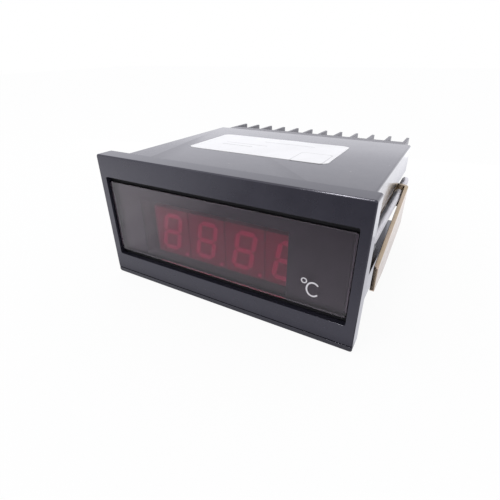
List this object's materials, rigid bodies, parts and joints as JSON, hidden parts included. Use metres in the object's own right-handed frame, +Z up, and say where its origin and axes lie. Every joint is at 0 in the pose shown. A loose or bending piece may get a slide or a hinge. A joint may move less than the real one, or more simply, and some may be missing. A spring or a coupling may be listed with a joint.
{
  "type": "digital panel meter",
  "caption": "Panel-mounted digital meter: flat bezel with a smoked window over red digits, black case, side clamps with long screws and a finned screw-terminal strip at the rear.",
  "frame": {"origin": "centre of the panel cut-out, on the plane where the bezel's rear face meets the panel", "axes": "+X to the viewer's right as seen from the front, +Y from the front into the panel towards the terminals, +Z up"},
  "size_m": [0.098, 0.0954, 0.048],
  "materials": {
    "bezel_plastic": "fine satin black moulding",
    "smoked_lens": "polished smoked acrylic",
    "black_mask": "flat black print",
    "red_filter": "transparent red film",
    "digit_body": "dark red epoxy face",
    "circuit_board": "solder mask",
    "header": "moulded pin row",
    "case_plastic": "smooth black moulding",
    "chip": "moulded package",
    "core_steel": "stacked laminations",
    "bobbin": "plain moulding",
    "coil_tape": "taped winding",
    "capacitor_sleeve": "shrink sleeve",
    "film_capacitor": "dipped coating",
    "trimmer_body": "moulded body",
    "trimmer_rotor": "plain moulding",
    "terminal_plastic": "satin black moulding",
    "plated_metal": "nickel plated",
    "yellow_zinc": "yellow passivated zinc on sheet steel",
    "foot_plastic": "plain moulding",
    "label_film": "bare self-adhesive film"
  },
  "bodies": {
    "housing": {"front_bezel": "bezel_plastic", "front_lens": "smoked_lens", "display_mask": "black_mask", "red_filter": "red_filter", "digit_1": "digit_body", "digit_2": "digit_body", "digit_3": "digit_body", "digit_4": "digit_body", "display_board": "circuit_board", "display_header": "header", "case_sleeve": "case_plastic", "main_board": "circuit_board", "rear_board": "circuit_board", "rear_header": "header", "converter_chip": "chip", "transformer_core": "core_steel", "transformer_bobbin": "bobbin", "transformer_coil": "coil_tape", "filter_capacitors": "capacitor_sleeve", "voltage_regulator": "chip", "film_capacitors": "film_capacitor", "rectifier_diodes": "chip", "zero_trimmer": "trimmer_body", "span_trimmer": "trimmer_body", "rear_cover": "case_plastic", "terminal_block": "terminal_plastic", "terminal_plates": "plated_metal", "terminal_washers": "plated_metal", "terminal_screws": "plated_metal", "right_clamp_bracket": "yellow_zinc", "left_clamp_bracket": "yellow_zinc", "top_label": "label_film"},
    "right_foot": {"right_screw_foot": "foot_plastic"},
    "right_screw": {"right_clamp_screw": "plated_metal"},
    "left_foot": {"left_screw_foot": "foot_plastic"},
    "left_screw": {"left_clamp_screw": "plated_metal"},
    "zero_rotor": {"zero_trimmer_rotor": "trimmer_rotor"},
    "span_rotor": {"span_trimmer_rotor": "trimmer_rotor"}
  },
  "joints": [
    {"name": "right_clamp_travel", "type": "slide", "parent": "housing", "child": "right_foot", "axis": [0, -1, 0], "range_m": [-0.008, 0.0012]},
    {"name": "right_clamp_turn", "type": "hinge", "parent": "right_foot", "child": "right_screw", "pos_m": [0.0458, 0.074, 0.0065], "axis": [0, -1, 0], "range_deg": [-5765, 869]},
    {"name": "left_clamp_travel", "type": "slide", "parent": "housing", "child": "left_foot", "axis": [0, -1, 0], "range_m": [-0.008, 0.0012]},
    {"name": "left_clamp_turn", "type": "hinge", "parent": "left_foot", "child": "left_screw", "pos_m": [-0.0458, 0.074, -0.0065], "axis": [0, -1, 0], "range_deg": [-5765, 869]},
    {"name": "zero_adjust", "type": "hinge", "parent": "housing", "child": "zero_rotor", "pos_m": [-0.0345, 0.018, -0.0085], "axis": [0, 0, 1], "range_deg": [-135, 135]},
    {"name": "span_adjust", "type": "hinge", "parent": "housing", "child": "span_rotor", "pos_m": [-0.0345, 0.03, -0.0085], "axis": [0, 0, 1], "range_deg": [-135, 135]}
  ],
  "couplings": [
    {"joint": "right_clamp_turn", "follows": "right_clamp_travel", "rad_per_m": 12566},
    {"joint": "left_clamp_turn", "follows": "left_clamp_travel", "rad_per_m": 12566}
  ]
}
